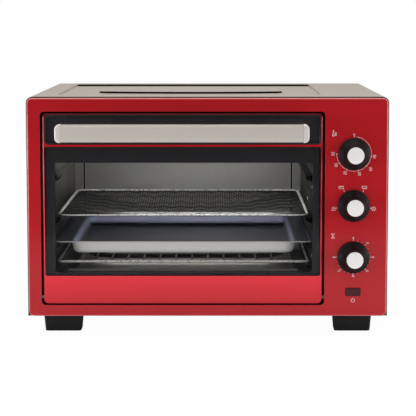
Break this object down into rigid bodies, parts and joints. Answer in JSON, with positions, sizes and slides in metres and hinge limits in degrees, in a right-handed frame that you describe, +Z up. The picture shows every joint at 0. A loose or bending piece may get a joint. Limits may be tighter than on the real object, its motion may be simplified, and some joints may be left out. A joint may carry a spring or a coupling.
{
  "type": "air fryer oven",
  "caption": "Countertop air fryer oven with a drop-down glass door, rotary controls, convection fan, mesh basket, baking pan, wire rack and crumb tray.",
  "frame": {"origin": "on the table under the middle of the oven's length and width, handle and rear spacers included", "axes": "+X to the right for someone who faces the door, +Y to the back, +Z up"},
  "size_m": [0.53, 0.45, 0.3487],
  "materials": {
    "red_paint": "glossy red baked paint",
    "warm_grey_paint": "warm grey satin paint",
    "galvanised_steel": "dull zinc coated sheet",
    "aluminised_steel": "grey aluminised sheet",
    "element_sheath": "dark oxidised tube",
    "black_plastic": "satin black",
    "black_enamel": "black satin enamel",
    "glass": "clear toughened",
    "satin_steel": "warm satin, brushed",
    "chrome_wire": "bright plated wire",
    "nonstick_coating": "blue-grey nonstick coating",
    "lens_red": "dark red translucent lens, unlit",
    "motor_steel": "laminated steel and zinc"
  },
  "bodies": {
    "oven": {"front_panel": "red_paint", "outer_cover": "warm_grey_paint", "rear_cover": "warm_grey_paint", "base_plate": "galvanised_steel", "foot_front_left": "black_plastic", "foot_front_right": "black_plastic", "foot_rear_left": "black_plastic", "foot_rear_right": "black_plastic", "cavity_front_frame": "aluminised_steel", "cavity_left_wall": "aluminised_steel", "cavity_right_wall": "aluminised_steel", "cavity_back_wall": "aluminised_steel", "cavity_top": "aluminised_steel", "cavity_floor": "aluminised_steel", "upper_heating_element": "element_sheath", "lower_heating_element": "element_sheath", "upper_element_bracket": "galvanised_steel", "lower_element_bracket": "galvanised_steel", "fan_housing": "galvanised_steel", "heat_shield": "galvanised_steel", "fan_motor": "motor_steel", "fan_motor_bracket": "galvanised_steel", "thermostat_body": "black_plastic", "function_switch_body": "black_plastic", "timer_body": "motor_steel", "control_bracket": "galvanised_steel", "indicator_lens": "lens_red", "hinge_bracket_left": "galvanised_steel", "hinge_bracket_right": "galvanised_steel", "cord_gland": "black_plastic"},
    "door": {"door_frame": "red_paint", "door_glass": "glass", "glass_retainer": "black_enamel", "door_inner_panel": "aluminised_steel", "handle_recess_panel": "black_plastic", "handle_bar": "satin_steel", "handle_end_left": "satin_steel", "handle_end_right": "satin_steel", "hinge_pin_left": "galvanised_steel", "hinge_pin_right": "galvanised_steel", "hinge_plate_left": "galvanised_steel", "hinge_plate_right": "galvanised_steel"},
    "temperature_control": {"temperature_knob": "black_plastic", "temperature_knob_cap": "satin_steel", "temperature_shaft": "galvanised_steel"},
    "function_control": {"function_knob": "black_plastic", "function_knob_cap": "satin_steel", "function_shaft": "galvanised_steel"},
    "timer_control": {"timer_knob": "black_plastic", "timer_knob_cap": "satin_steel", "timer_shaft": "galvanised_steel"},
    "fan": {"fan_shaft": "galvanised_steel", "convection_fan": "galvanised_steel", "cooling_fan": "black_plastic"},
    "basket": {"basket_rim": "chrome_wire", "basket_mesh": "chrome_wire"},
    "pan": {"bake_pan": "nonstick_coating"},
    "rack": {"wire_rack": "chrome_wire"},
    "tray": {"crumb_tray": "aluminised_steel"}
  },
  "joints": [
    {"name": "door_hinge", "type": "hinge", "parent": "oven", "child": "door", "pos_m": [-0.03635, -0.179, 0.0527], "axis": [1, 0, 0], "range_deg": [0, 90]},
    {"name": "temperature_turn", "type": "hinge", "parent": "oven", "child": "temperature_control", "pos_m": [0.214, -0.187, 0.2656], "axis": [0, 1, 0], "range_deg": [0, 275]},
    {"name": "function_turn", "type": "hinge", "parent": "oven", "child": "function_control", "pos_m": [0.214, -0.187, 0.1894], "axis": [0, 1, 0], "range_deg": [-65, 131]},
    {"name": "timer_turn", "type": "hinge", "parent": "oven", "child": "timer_control", "pos_m": [0.214, -0.187, 0.1132], "axis": [0, 1, 0], "range_deg": [0, 270]},
    {"name": "fan_spin", "type": "hinge", "parent": "oven", "child": "fan", "pos_m": [0.1566, -0.007, 0.1967], "axis": [1, 0, 0], "continuous": true},
    {"name": "basket_slide", "type": "slide", "parent": "oven", "child": "basket", "axis": [0, -1, 0], "range_m": [0, 0.1965]},
    {"name": "pan_slide", "type": "slide", "parent": "oven", "child": "pan", "axis": [0, -1, 0], "range_m": [0, 0.1258]},
    {"name": "rack_slide", "type": "slide", "parent": "oven", "child": "rack", "axis": [0, -1, 0], "range_m": [0, 0.0944]},
    {"name": "tray_slide", "type": "slide", "parent": "oven", "child": "tray", "axis": [0, -1, 0], "range_m": [0, 0.0237]}
  ],
  "couplings": [
    {"joint": "basket_slide", "follows": "door_hinge", "m_per_rad": 0.125},
    {"joint": "pan_slide", "follows": "door_hinge", "m_per_rad": 0.08},
    {"joint": "rack_slide", "follows": "door_hinge", "m_per_rad": 0.06},
    {"joint": "tray_slide", "follows": "door_hinge", "m_per_rad": 0.015}
  ]
}
